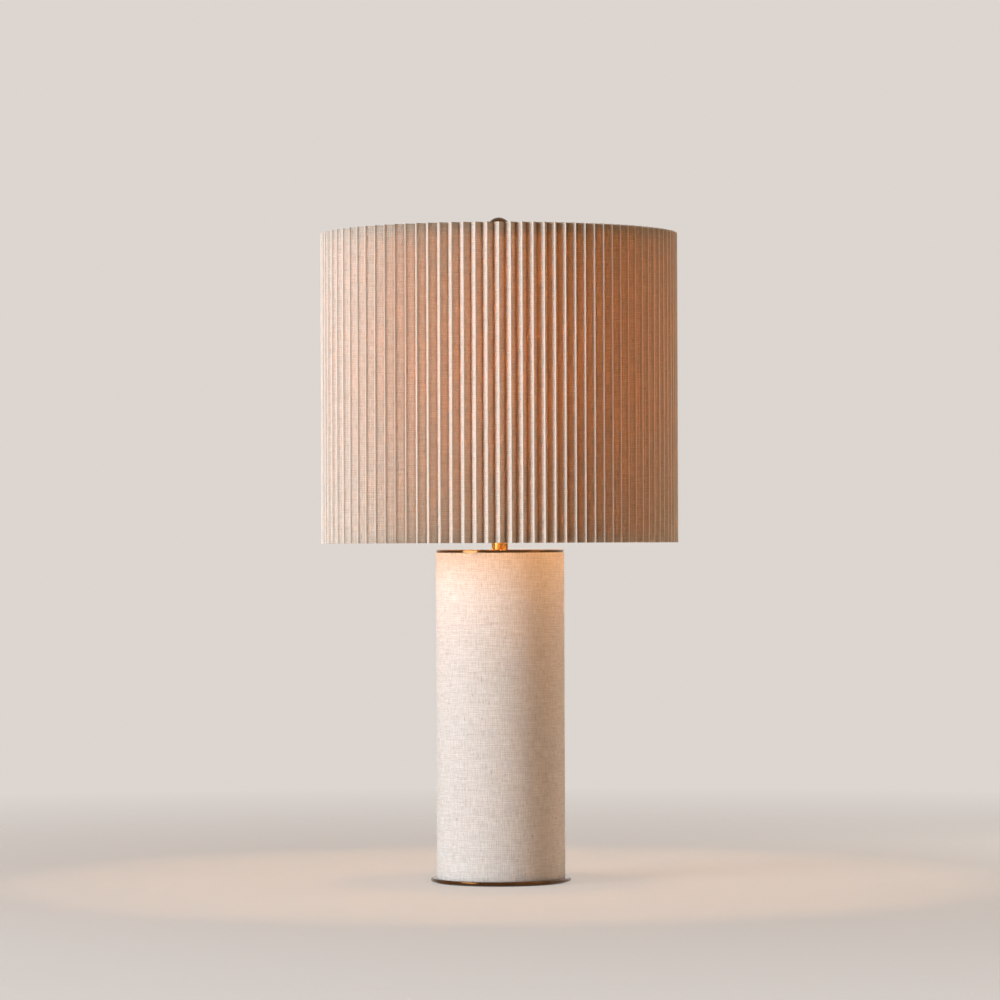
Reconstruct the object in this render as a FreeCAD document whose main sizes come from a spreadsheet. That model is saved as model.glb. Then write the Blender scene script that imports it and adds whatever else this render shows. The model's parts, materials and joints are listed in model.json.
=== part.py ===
"""Fabric table lamp: a linen-wrapped column on a metal foot, with a pleated drum shade.

Millimetres, +Z up. The origin is the centre of the felt under the foot, and -Y is the front.
Every length is a cell of the spreadsheet "dims", which the pieces follow by expressions. The pleated cloth's
folds are drawn from the cells' values instead.
"""

import FreeCAD, Part
import Sketcher
import math
import os
from types import SimpleNamespace

SIZES = {
    # Foot and weight
    "felt_thickness": 1.0,
    "felt_setback": 3.85,
    "foot_margin": 5.85,
    "foot_thickness": 3.5,
    "foot_edge_radius": 1.2,
    "weight_height": 22.0,
    "weight_gap": 0.6,
    "recess_gap": 3.0,
    "recess_depth": 12.0,
    "screw_circle": 84.0,
    "screw_count": 3,
    "screw_shank": 4.0,
    "screw_head": 8.0,
    "screw_length": 14.0,
    "screw_clearance": 0.05,
    # Column
    "core_diameter": 126.0,
    "core_wall": 3.0,
    "linen_thickness": 1.0,
    "column_height": 323.1,
    "cap_setback": 0.4,
    "cap_thickness": 3.0,
    "cap_edge_radius": 0.7,
    "spigot_height": 5.0,
    "spigot_wall": 2.5,
    "spigot_gap": 0.3,
    "neck_diameter": 16.2,
    "neck_height": 40.0,
    # Threaded pipe and its nuts
    "pipe_diameter": 10.2,
    "pipe_bore": 7.0,
    "pipe_clearance": 0.2,
    "pipe_overrun": 1.5,
    "washer_diameter": 24.0,
    "washer_thickness": 1.5,
    "nut_across_flats": 14.0,
    "nut_height": 5.0,
    # Cord outlet
    "outlet_height": 9.0,
    "outlet_bore": 7.0,
    "grommet_wall": 1.5,
    "grommet_lip_width": 1.5,
    "grommet_lip_thickness": 1.5,
    "grommet_clearance": 0.1,
    "cord_channel_gap": 1.0,
    # Harp
    "saddle_span": 56.0,
    "saddle_width": 12.0,
    "saddle_thickness": 1.6,
    "harp_wire": 3.8,
    "harp_width": 116.0,
    "prong_height": 10.0,
    "leg_straight": 26.0,
    "crown_length": 30.0,
    "crown_width": 10.0,
    "crown_thickness": 3.2,
    "ferrule_length": 18.0,
    "ferrule_wall": 1.1,
    "ferrule_clearance": 0.1,
    # Swivel stud
    "stud_diameter": 6.35,
    "stud_length": 13.0,
    "seat_diameter": 18.0,
    "seat_thickness": 2.5,
    "shoulder_height": 2.0,
    "shank_diameter": 5.0,
    "rivet_diameter": 8.0,
    "rivet_thickness": 1.5,
    "swivel_clearance": 0.05,
    "swivel_play": 0.2,
    # Lamp socket
    "socket_hub_wall": 3.7,
    "socket_hub_height": 8.0,
    "socket_flare": 6.0,
    "socket_cap_rim": 10.0,
    "socket_wall": 0.8,
    "socket_gap": 0.1,
    "socket_air": 1.0,
    "socket_rim": 0.4,
    "liner_wall": 0.8,
    "liner_rise": 0.8,
    "socket_core_lift": 1.0,
    "socket_core_height": 22.0,
    "screw_shell_wall": 0.5,
    "pipe_entry": 11.0,
    "tongue_width": 6.0,
    "tongue_length": 6.0,
    "tongue_thickness": 0.6,
    "tongue_rise": 2.2,
    "terminal_spacing": 18.0,
    "terminal_diameter": 5.0,
    "terminal_height": 1.6,
    # Turn switch
    "switch_rise": 5.0,
    "stem_diameter": 3.6,
    "stem_depth": 8.0,
    "stem_grip": 8.0,
    "stem_clearance": 0.05,
    "stem_opening": 0.8,
    "knob_diameter": 15.0,
    "knob_length": 12.0,
    "knob_standoff": 4.0,
    "knob_edge_radius": 1.5,
    "flute_diameter": 2.4,
    "flute_count": 12,
    # Bulb
    "bulb_diameter": 60.0,
    "bulb_wall": 1.2,
    "globe_drop": 16.0,
    "collar_height": 34.0,
    "collar_curve": 79.0,
    "collar_margin": 0.5,
    "collar_spigot": 6.0,
    "base_diameter": 26.4,
    "base_wall": 0.4,
    "base_lead": 0.8,
    "base_skirt": 2.0,
    "base_gap": 0.1,
    "thread_pitch": 3.6,
    "thread_depth": 0.9,
    "thread_turns": 5,
    "thread_gap": 0.3,
    "contact_gap": 0.1,
    "tip_diameter": 9.0,
    "tip_height": 1.8,
    "tip_cone_height": 3.0,
    # Shade
    "shade_diameter": 355.6,
    "shade_height": 308.0,
    "shade_gap": 6.6,
    "pleat_count": 98,
    "pleat_depth": 9.0,
    "cloth_thickness": 0.6,
    "tape_height": 12.0,
    "tape_thickness": 0.5,
    "tape_setback": 1.0,
    "ring_wire": 3.2,
    "ring_height": 6.0,
    "shade_clearance": 0.15,
    # Spider and finial
    "hub_diameter": 26.0,
    "hub_bore": 11.0,
    "hub_thickness": 3.6,
    "hub_drop": 4.2,
    "arm_wire": 3.2,
    "arm_count": 3,
    "finial_diameter": 24.0,
    "finial_base_diameter": 16.0,
    "finial_base_height": 7.0,
    "finial_rim": 2.0,
    "finial_headroom": 1.0,
    "finial_clearance": 0.08,
    "insert_wall": 1.3,
}

FULL_TURN = 360.0
SIN_60 = math.sin(math.radians(60))
AXIS_TURNS = {"X": FreeCAD.Vector(0, 1, 0), "Y": FreeCAD.Vector(-1, 0, 0)}

doc = FreeCAD.newDocument("fabric_table_lamp")
sheet = doc.addObject("Spreadsheet::Sheet", "dims")
for row, (alias, number) in enumerate(SIZES.items(), start=1):
    sheet.set(f"A{row}", alias)
    sheet.set(f"B{row}", str(number))
    sheet.setAlias(f"B{row}", alias)
doc.recompute()


class Size:
    """A length, with its value and the spreadsheet formula that gives it."""

    def __init__(self, value, formula):
        self.value = value
        self.formula = formula

    def joined(self, sign, other, value):
        return Size(value, f"({self.formula} {sign} {as_size(other).formula})")

    def __add__(self, other):
        return self.joined("+", other, self.value + as_size(other).value)

    def __sub__(self, other):
        return self.joined("-", other, self.value - as_size(other).value)

    def __mul__(self, other):
        return self.joined("*", other, self.value * as_size(other).value)

    def __truediv__(self, other):
        return self.joined("/", other, self.value / as_size(other).value)

    def __neg__(self):
        return self * -1


def as_size(length):
    return length if isinstance(length, Size) else Size(float(length), f"{float(length):.9f}")


def root(square):
    return Size(math.sqrt(square.value), f"sqrt({square.formula})")


d = SimpleNamespace(**{alias: Size(float(sheet.get(alias)), f"dims.{alias}") for alias in SIZES})


def bind(thing, path, length):
    """Ties one property of an object to a size."""
    thing.setExpression(path, as_size(length).formula)


def place(thing, at, along="Z"):
    """Puts an object's origin at a point, with its own Z turned to a global axis."""
    if along in AXIS_TURNS:
        thing.Placement = FreeCAD.Placement(FreeCAD.Vector(), FreeCAD.Rotation(AXIS_TURNS[along], 90))
    for axis, length in zip("xyz", at):
        bind(thing, f"Placement.Base.{axis}", length)
    return thing


def rod(name, radius, length, at=(0, 0, 0), along="Z"):
    thing = doc.addObject("Part::Cylinder", name)
    bind(thing, "Radius", radius)
    bind(thing, "Height", length)
    return place(thing, at, along)


def block(name, size, at):
    thing = doc.addObject("Part::Box", name)
    for path, length in zip(("Length", "Width", "Height"), size):
        bind(thing, path, length)
    return place(thing, at)


def cone(name, lower, upper, height, at):
    thing = doc.addObject("Part::Cone", name)
    bind(thing, "Radius1", lower)
    bind(thing, "Radius2", upper)
    bind(thing, "Height", height)
    return place(thing, at)


def ring(name, radius, wire, at):
    thing = doc.addObject("Part::Torus", name)
    bind(thing, "Radius1", radius)
    bind(thing, "Radius2", wire / 2)
    return place(thing, at)


def cut(name, base, tool):
    thing = doc.addObject("Part::Cut", name)
    thing.Base = base
    thing.Tool = tool
    return thing


def fused(name, things):
    thing = doc.addObject("Part::MultiFuse", name)
    thing.Shapes = things
    return thing


def grouped(name, things):
    thing = doc.addObject("Part::Compound", name)
    thing.Links = things
    return thing


def tube(name, outer, inner, length, at):
    return cut(name, rod(f"{name}_outside", outer, length, at), rod(f"{name}_inside", inner, length, at))


def sketch_on(body, role, name):
    """A sketch on one of a body's own origin planes."""
    sketch = body.newObject("Sketcher::SketchObject", name)
    plane = next(feature for feature in body.Origin.OriginFeatures if feature.Role == role)
    sketch.AttachmentSupport = [(plane, "")]
    sketch.MapMode = "FlatFace"
    return sketch


def arc_between(start, end, radius):
    """The short arc from start to end: it turns left for a positive radius, right for a negative one."""
    chord = end - start
    left = FreeCAD.Vector(-chord.y, chord.x, 0).normalize()
    sagitta = abs(radius) - math.sqrt(radius * radius - chord.Length * chord.Length / 4)
    middle = (start + end) / 2 - left * math.copysign(sagitta, radius)
    return Part.Arc(start, middle, end)


def fix_point(sketch, edge, spot, point):
    """Ties one end of a sketch edge to its two coordinates."""
    for kind, length in zip(("DistanceX", "DistanceY"), point):
        index = sketch.addConstraint(Sketcher.Constraint(kind, -1, 1, edge, spot, length.value))
        bind(sketch, f"Constraints[{index}]", length)


def fix_radius(sketch, edge, radius):
    index = sketch.addConstraint(Sketcher.Constraint("Radius", edge, radius.value))
    bind(sketch, f"Constraints[{index}]", radius)


def draw(sketch, points, bends=None, closed=True):
    """Draws an outline through points. A segment listed in bends is an arc of that signed radius."""
    bends = bends or {}
    points = [(as_size(x), as_size(y)) for x, y in points]
    corners = [FreeCAD.Vector(x.value, y.value, 0) for x, y in points]
    segments = len(points) if closed else len(points) - 1
    ends = []
    for i in range(segments):
        start = corners[i]
        end = corners[(i + 1) % len(points)]
        if i not in bends:
            ends.append((sketch.addGeometry(Part.LineSegment(start, end)), 1, 2))
            continue
        bend = as_size(bends[i])
        edge = sketch.addGeometry(arc_between(start, end, bend.value))
        left_turn = bend.value > 0
        ends.append((edge, 1, 2) if left_turn else (edge, 2, 1))
        fix_radius(sketch, edge, bend if left_turn else -bend)
    for i in range(segments if closed else segments - 1):
        edge, _, last = ends[i]
        following, first, _ = ends[(i + 1) % segments]
        sketch.addConstraint(Sketcher.Constraint("Coincident", edge, last, following, first))
    for (edge, first, _), point in zip(ends, points):
        fix_point(sketch, edge, first, point)
    if not closed:
        edge, _, last = ends[-1]
        fix_point(sketch, edge, last, points[-1])


def draw_circle(sketch, centre, radius):
    x, y = as_size(centre[0]), as_size(centre[1])
    circle = Part.Circle(FreeCAD.Vector(x.value, y.value, 0), FreeCAD.Vector(0, 0, 1), radius.value)
    edge = sketch.addGeometry(circle)
    fix_radius(sketch, edge, radius)
    fix_point(sketch, edge, 3, (x, y))


def turned(name, points, bends=None, plane="XZ_Plane"):
    """A body turned about the sketch's upright axis from an outline of (radius, height) points."""
    body = doc.addObject("PartDesign::Body", name)
    sketch = sketch_on(body, plane, f"{name}_outline")
    draw(sketch, points, bends)
    turn = body.newObject("PartDesign::Revolution", f"{name}_turn")
    turn.Profile = sketch
    turn.ReferenceAxis = (sketch, ["V_Axis"])
    turn.Angle = FULL_TURN
    return body


def padded(name, sketch, body, height):
    pad = body.newObject("PartDesign::Pad", name)
    pad.Profile = sketch
    bind(pad, "Length", height)
    return pad


def around(radius, angle):
    """The point at a radius and an angle in degrees about the lamp's axis."""
    return radius * math.cos(math.radians(angle)), radius * math.sin(math.radians(angle))


def evenly(count, first):
    """Angles of count places spread evenly round the axis."""
    copies = round(count.value)
    return [first + FULL_TURN * i / copies for i in range(copies)]


# Heights, from the table upwards

foot_bottom = d.felt_thickness
column_bottom = foot_bottom + d.foot_thickness
column_top = column_bottom + d.column_height
cap_top = column_top + d.cap_thickness
saddle_bottom = cap_top + d.neck_height
saddle_top = saddle_bottom + d.saddle_thickness
leg_bottom = saddle_top + d.prong_height
socket_bottom = saddle_top + d.nut_height
shade_bottom = cap_top + d.shade_gap
shade_top = shade_bottom + d.shade_height
hub_top = shade_top - d.hub_drop
hub_bottom = hub_top - d.hub_thickness
hub_middle = hub_bottom + d.hub_thickness / 2
crown_top = hub_bottom - d.seat_thickness - d.swivel_play
crown_bottom = crown_top - d.crown_thickness
crown_middle = crown_bottom + d.crown_thickness / 2

# Radii that several pieces share

core_radius = d.core_diameter / 2
core_inside = core_radius - d.core_wall
column_radius = core_radius + d.linen_thickness
foot_radius = column_radius + d.foot_margin
pipe_hole = d.pipe_diameter / 2 + d.pipe_clearance
recess_radius = d.washer_diameter / 2 + d.recess_gap
weight_radius = core_inside - d.weight_gap
half_span = d.saddle_span / 2


def screw_shape(name, angle, extra):
    """One countersunk screw standing on its head, or with extra radius the hole that it goes through."""
    x, y = around(d.screw_circle / 2, angle)
    head = d.screw_head / 2 + extra
    shank = d.screw_shank / 2 + extra
    flare = head - shank
    tip = d.screw_length - flare
    return fused(name, [
        cone(f"{name}_head", head, shank, flare, (x, y, foot_bottom)),
        rod(f"{name}_shank", shank, tip, (x, y, foot_bottom + flare)),
    ])


def build_foot():
    felt = rod("felt_pad", foot_radius - d.felt_setback, d.felt_thickness)

    edge = d.foot_edge_radius
    plate = turned("foot_plate_blank", [
        (recess_radius, foot_bottom),
        (foot_radius - edge, foot_bottom),
        (foot_radius, foot_bottom + edge),
        (foot_radius, column_bottom - edge),
        (foot_radius - edge, column_bottom),
        (recess_radius, column_bottom),
    ], {1: edge, 3: edge})

    recess_top = column_bottom + d.recess_depth
    weight_top = column_bottom + d.weight_height
    weight = turned("weight_blank", [
        (recess_radius, column_bottom),
        (weight_radius, column_bottom),
        (weight_radius, weight_top),
        (pipe_hole, weight_top),
        (pipe_hole, recess_top),
        (recess_radius, recess_top),
    ])

    angles = evenly(d.screw_count, 30)
    screws = [screw_shape(f"foot_screw_{i}", angle, 0) for i, angle in enumerate(angles)]
    holes = [screw_shape(f"foot_screw_hole_{i}", angle, d.screw_clearance) for i, angle in enumerate(angles)]
    lip_radius = d.outlet_bore / 2 + d.grommet_wall + d.grommet_lip_width
    half_channel = lip_radius + d.cord_channel_gap
    channel = block("cord_channel", (half_channel * 2, weight_radius, d.outlet_height + half_channel),
                    (-half_channel, 0, column_bottom))
    return [
        felt,
        cut("foot_plate", plate, grouped("foot_plate_holes", holes)),
        cut("base_weight", weight, fused("weight_cuts", [*holes, channel])),
        grouped("foot_screws", screws),
    ]


def hex_nut(name, at):
    blank = doc.addObject("Part::Prism", f"{name}_blank")
    blank.Polygon = 6
    bind(blank, "Circumradius", d.nut_across_flats / 2 / SIN_60)
    bind(blank, "Height", d.nut_height)
    place(blank, at)
    return cut(name, blank, rod(f"{name}_thread", pipe_hole, d.nut_height, at))


def build_pipe():
    washer_bottom = column_bottom + d.recess_depth - d.washer_thickness
    nut_bottom = washer_bottom - d.nut_height
    pipe_bottom = nut_bottom - d.pipe_overrun
    pipe_length = socket_bottom + d.pipe_entry - pipe_bottom
    return [
        tube("lamp_pipe", d.pipe_diameter / 2, d.pipe_bore / 2, pipe_length, (0, 0, pipe_bottom)),
        tube("pipe_washer", d.washer_diameter / 2, pipe_hole, d.washer_thickness, (0, 0, washer_bottom)),
        hex_nut("pipe_nut", (0, 0, nut_bottom)),
        hex_nut("saddle_nut", (0, 0, saddle_top)),
    ]


def build_column():
    outlet = column_bottom + d.outlet_height
    bore = d.outlet_bore / 2
    body = bore + d.grommet_wall
    lip = body + d.grommet_lip_width
    outer_lip = column_radius + d.grommet_clearance
    inner_lip = root(core_inside * core_inside - lip * lip) - d.grommet_clearance

    def with_outlet(name, outer, inner):
        blank = tube(f"{name}_blank", outer, inner, d.column_height, (0, 0, column_bottom))
        hole = rod(f"{name}_outlet", body + d.grommet_clearance, outer, (0, 0, outlet), "Y")
        return cut(name, blank, hole)

    grommet = turned("cord_grommet", [
        (bore, inner_lip - d.grommet_lip_thickness),
        (lip, inner_lip - d.grommet_lip_thickness),
        (lip, inner_lip),
        (body, inner_lip),
        (body, outer_lip),
        (lip, outer_lip),
        (lip, outer_lip + d.grommet_lip_thickness),
        (bore, outer_lip + d.grommet_lip_thickness),
    ], plane="XY_Plane")
    place(grommet, (0, 0, outlet))

    edge = d.cap_edge_radius
    cap_radius = column_radius - d.cap_setback
    spigot = core_inside - d.spigot_gap
    cap = turned("top_cap", [
        (pipe_hole, column_top),
        (spigot - d.spigot_wall, column_top),
        (spigot - d.spigot_wall, column_top - d.spigot_height),
        (spigot, column_top - d.spigot_height),
        (spigot, column_top),
        (cap_radius, column_top),
        (cap_radius, cap_top - edge),
        (cap_radius - edge, cap_top),
        (pipe_hole, cap_top),
    ], {6: edge})
    return [
        with_outlet("core_tube", core_radius, core_inside),
        with_outlet("linen_sleeve", column_radius, core_radius),
        grommet,
        cap,
        tube("neck_tube", d.neck_diameter / 2, pipe_hole, d.neck_height, (0, 0, cap_top)),
    ]


def build_saddle():
    """A flat strip with round ends on the pipe, and a prong standing at each end for the harp."""
    end = d.saddle_width / 2
    strip = doc.addObject("PartDesign::Body", "saddle_strip")
    sketch = sketch_on(strip, "XY_Plane", "saddle_strip_outline")
    draw(sketch, [
        (-half_span, -end),
        (half_span, -end),
        (half_span + end, 0),
        (half_span, end),
        (-half_span, end),
        (-half_span - end, 0),
    ], {1: end, 2: end, 4: end, 5: end})
    draw_circle(sketch, (0, 0), pipe_hole)
    padded("saddle_strip_pad", sketch, strip, d.saddle_thickness)
    place(strip, (0, 0, saddle_bottom))
    prongs = [
        rod(f"saddle_prong_{i}", d.harp_wire / 2, d.prong_height + d.saddle_thickness, (x, 0, saddle_bottom))
        for i, x in enumerate((-half_span, half_span))
    ]
    return [fused("harp_saddle", [strip, *prongs])]


def harp_leg(name, side):
    """One leg of the harp: up from the saddle, out past the bulb and in to the crown."""
    wide = d.harp_width / 2
    sweep = wide - half_span
    bend_start = leg_bottom + d.leg_straight
    reach = d.crown_length / 2
    top_bend = wide - reach
    points = [
        (half_span, leg_bottom),
        (half_span, bend_start),
        (half_span + sweep / 2, bend_start + sweep * SIN_60),
        (wide, bend_start + sweep * (2 * SIN_60)),
        (wide, crown_middle - top_bend),
        (reach, crown_middle),
    ]
    body = doc.addObject("PartDesign::Body", name)
    path = sketch_on(body, "XZ_Plane", f"{name}_path")
    draw(path, [(x * side, z) for x, z in points],
         {1: sweep * -side, 2: sweep * side, 4: top_bend * side}, closed=False)
    section = sketch_on(body, "XY_Plane", f"{name}_section")
    bind(section, "AttachmentOffset.Base.z", leg_bottom)
    draw_circle(section, (half_span * side, 0), d.harp_wire / 2)
    doc.recompute()
    pipe = body.newObject("PartDesign::AdditivePipe", f"{name}_pipe")
    pipe.Profile = section
    pipe.Spine = (path, [f"Edge{i + 1}" for i in range(len(points) - 1)])
    return body


def build_harp():
    crown_blank = block("harp_crown_blank", (d.crown_length, d.crown_width, d.crown_thickness),
                        (-d.crown_length / 2, -d.crown_width / 2, crown_bottom))
    crown_hole = rod("harp_crown_hole", d.shank_diameter / 2 + d.swivel_clearance, d.crown_thickness,
                     (0, 0, crown_bottom))
    sleeve = d.harp_wire / 2 + d.ferrule_clearance
    pieces = [cut("harp_crown", crown_blank, crown_hole)]
    for hand, side in (("left", -1), ("right", 1)):
        pieces.append(harp_leg(f"harp_leg_{hand}", side))
        pieces.append(tube(f"harp_ferrule_{hand}", sleeve + d.ferrule_wall, sleeve, d.ferrule_length,
                           (half_span * side, 0, saddle_top)))
    return pieces


def build_stud():
    """The stud that turns in the harp's crown, with the seat and shoulder that carry the shade's hub."""
    rivet = d.rivet_diameter / 2
    shank = d.shank_diameter / 2
    seat = d.seat_diameter / 2
    shoulder = d.hub_bore / 2 - d.shade_clearance
    thread = d.stud_diameter / 2
    rivet_top = crown_bottom - d.swivel_play
    return [turned("swivel_stud", [
        (0, rivet_top - d.rivet_thickness),
        (rivet, rivet_top - d.rivet_thickness),
        (rivet, rivet_top),
        (shank, rivet_top),
        (shank, hub_bottom - d.seat_thickness),
        (seat, hub_bottom - d.seat_thickness),
        (seat, hub_bottom),
        (shoulder, hub_bottom),
        (shoulder, hub_bottom + d.shoulder_height),
        (thread, hub_bottom + d.shoulder_height),
        (thread, hub_top + d.stud_length),
        (0, hub_top + d.stud_length),
    ])]


# Socket and bulb: radii from the bulb's thread outwards, heights from the saddle's nut upwards

thread_crest = d.base_diameter / 2
thread_root = thread_crest - d.thread_depth
shell_gap = d.thread_gap + d.screw_shell_wall
liner_inside = thread_crest + shell_gap + d.socket_air
liner_outside = liner_inside + d.liner_wall
shell_inside = liner_outside + d.socket_gap
shell_outside = shell_inside + d.socket_wall
cap_inside = shell_outside + d.socket_gap
cap_outside = cap_inside + d.socket_wall
core_outside = liner_inside - d.socket_gap
shell_bottom = socket_bottom + d.socket_hub_height + d.socket_flare
core_bottom = shell_bottom + d.socket_core_lift
core_top = core_bottom + d.socket_core_height
switch_axis = shell_bottom + d.socket_cap_rim + d.switch_rise
bulb_bottom = core_top + d.tongue_rise + d.contact_gap
base_bottom = bulb_bottom + d.tip_height + d.tip_cone_height
thread_bottom = base_bottom + d.base_lead
thread_top = thread_bottom + d.thread_pitch * d.thread_turns
base_top = thread_top + d.base_skirt
collar_top = base_top + d.collar_height
globe_centre = collar_top + d.globe_drop


def thread_line(outwards):
    """Points up one side of the screw thread, drawn as even ridges, moved out by a distance."""
    points = []
    for i in range(round(d.thread_turns.value)):
        z = thread_bottom + d.thread_pitch * i
        points.append((thread_root + outwards, z))
        points.append((thread_crest + outwards, z + d.thread_pitch / 2))
    points.append((thread_root + outwards, thread_top))
    return points


def build_socket():
    hub = pipe_hole + d.socket_hub_wall
    hub_end = socket_bottom + d.socket_hub_height
    rim = shell_bottom + d.socket_cap_rim
    cap = turned("socket_cap", [
        (pipe_hole, socket_bottom),
        (hub, socket_bottom),
        (hub, hub_end - d.socket_wall * 2),
        (cap_outside, shell_bottom - d.socket_wall * 2),
        (cap_outside, rim),
        (cap_inside, rim),
        (cap_inside, shell_bottom),
        (hub, hub_end),
        (pipe_hole, hub_end),
    ])

    stem_way = d.stem_diameter / 2 + d.stem_opening
    shell_top = thread_top + d.socket_rim
    shell = tube("socket_shell_blank", shell_outside, shell_inside, shell_top - shell_bottom,
                 (0, 0, shell_bottom))
    liner_height = shell_top + d.liner_rise - shell_bottom
    liner = tube("socket_liner_blank", liner_outside, liner_inside, liner_height, (0, 0, shell_bottom))
    core = rod("socket_core_blank", core_outside, d.socket_core_height, (0, 0, core_bottom))

    def hole_from_front(name, radius, back):
        """A hole along Y from outside the socket to a distance in front of the axis."""
        return rod(name, radius, cap_outside - back, (0, -cap_outside, switch_axis), "Y")

    stem_back = core_outside - d.stem_depth
    contact = doc.addObject("PartDesign::Body", "socket_contact")
    sketch = sketch_on(contact, "XZ_Plane", "socket_contact_outline")
    length = d.tongue_length
    draw(sketch, [
        (-length, core_top),
        (-length / 3, core_top),
        (length / 3, core_top + d.tongue_rise - d.tongue_thickness),
        (length / 3, core_top + d.tongue_rise),
        (-length / 3, core_top + d.tongue_thickness),
        (-length, core_top + d.tongue_thickness),
    ])
    padded("socket_contact_pad", sketch, contact, d.tongue_width)
    place(contact, (0, d.tongue_width / 2, 0))

    screw_shell = turned("socket_screw_shell", [
        (thread_root + d.thread_gap, core_top),
        (thread_root + shell_gap, core_top),
        *thread_line(shell_gap),
        *reversed(thread_line(d.thread_gap)),
    ])
    terminals = [
        rod(f"terminal_screw_{i}", d.terminal_diameter / 2, d.terminal_height,
            (d.terminal_spacing / 2 * side, 0, core_bottom - d.terminal_height))
        for i, side in enumerate((-1, 1))
    ]
    return [
        cap,
        cut("socket_shell", shell, hole_from_front("socket_shell_hole", stem_way, 0)),
        cut("socket_liner", liner, hole_from_front("socket_liner_hole", stem_way, 0)),
        cut("socket_core", core, hole_from_front("socket_core_hole", d.stem_diameter / 2 + d.stem_clearance,
                                                 stem_back)),
        screw_shell,
        contact,
        grouped("terminal_screws", terminals),
    ]


def build_switch():
    """The turn switch on the socket's front, with its stem running back into the socket's core."""
    stem = d.stem_diameter / 2
    knob = d.knob_diameter / 2
    edge = d.knob_edge_radius
    knob_back = cap_outside + d.knob_standoff
    knob_front = knob_back + d.knob_length
    stem_front = knob_back + d.stem_grip
    stem_back = core_outside - d.stem_depth
    blank = turned("switch_knob_blank", [
        (0, -stem_front),
        (0, -knob_front),
        (knob - edge, -knob_front),
        (knob, edge - knob_front),
        (knob, -knob_back),
        (stem, -knob_back),
        (stem, -stem_front),
    ], {2: edge}, plane="XY_Plane")
    place(blank, (0, 0, switch_axis))
    flutes = []
    for i, angle in enumerate(evenly(d.flute_count, 0)):
        x, z = around(knob, angle)
        flutes.append(rod(f"knob_flute_{i}", d.flute_diameter / 2, d.knob_length,
                          (x, -knob_front, switch_axis + z), "Y"))
    return [
        rod("switch_stem", stem, stem_front - stem_back, (0, -stem_front, switch_axis), "Y"),
        cut("switch_knob", blank, grouped("knob_flutes", flutes)),
    ]


def build_bulb():
    globe = d.bulb_diameter / 2
    inside = globe - d.bulb_wall
    drop = d.globe_drop * d.globe_drop
    mouth = root(globe * globe - drop)
    mouth_inside = root(inside * inside - drop)
    base_inside = thread_root - d.base_wall
    spigot = base_inside - d.base_gap
    tip = d.tip_diameter / 2
    tip_top = bulb_bottom + d.tip_height
    return [
        turned("bulb_globe", [
            (mouth_inside, collar_top),
            (mouth, collar_top),
            (globe, globe_centre),
            (0, globe_centre + globe),
            (0, globe_centre + inside),
            (inside, globe_centre),
        ], {1: globe, 2: globe, 4: -inside, 5: -inside}),
        turned("bulb_collar", [
            (0, base_top - d.collar_spigot),
            (spigot, base_top - d.collar_spigot),
            (spigot, base_top),
            (thread_crest + d.collar_margin, base_top),
            (mouth, collar_top),
            (0, collar_top),
        ], {3: -d.collar_curve}),
        turned("bulb_screw_base", [
            (base_inside, base_bottom),
            (thread_root, base_bottom),
            *thread_line(0),
            (thread_root, base_top),
            (base_inside, base_top),
        ]),
        turned("bulb_insulator", [
            (0, tip_top),
            (tip, tip_top),
            (thread_root, base_bottom),
            (0, base_bottom),
        ]),
        turned("bulb_contact", [
            (0, bulb_bottom),
            (tip / 2, bulb_bottom),
            (tip, tip_top),
            (0, tip_top),
        ]),
    ]


# Shade: the pleats' slope gives the cloth's thickness along the radius

ridge_radius = d.shade_diameter / 2
valley_radius = ridge_radius - d.pleat_depth
half_pitch = (ridge_radius - d.pleat_depth / 2) * math.pi / d.pleat_count
pleat_face = root(half_pitch * half_pitch + d.pleat_depth * d.pleat_depth)
cloth_wall = d.cloth_thickness * pleat_face / half_pitch
tape_outside = valley_radius - cloth_wall - d.shade_clearance
tape_inside = tape_outside - d.tape_thickness
wire_radius = tape_inside - d.shade_clearance - d.ring_wire / 2


def pleated_line(inwards):
    """The closed zigzag of the folds at the shade's lower edge, with a ridge facing the front."""
    points = []
    for angle in evenly(d.pleat_count * 2, -90):
        turn = math.radians(angle)
        radius = (valley_radius if len(points) % 2 else ridge_radius) - inwards
        points.append(FreeCAD.Vector(radius.value * math.cos(turn), radius.value * math.sin(turn), 0))
    return Part.makePolygon([*points, points[0]])


def build_cloth():
    """The accordion-pleated cloth, one closed strip of even thickness folded to ridges and valleys."""
    cloth = doc.addObject("Part::Feature", "shade_cloth")
    face = Part.makeFace([pleated_line(as_size(0)), pleated_line(cloth_wall)], "Part::FaceMakerBullseye")
    cloth.Shape = face.extrude(FreeCAD.Vector(0, 0, d.shade_height.value))
    return place(cloth, (0, 0, shade_bottom))


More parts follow.
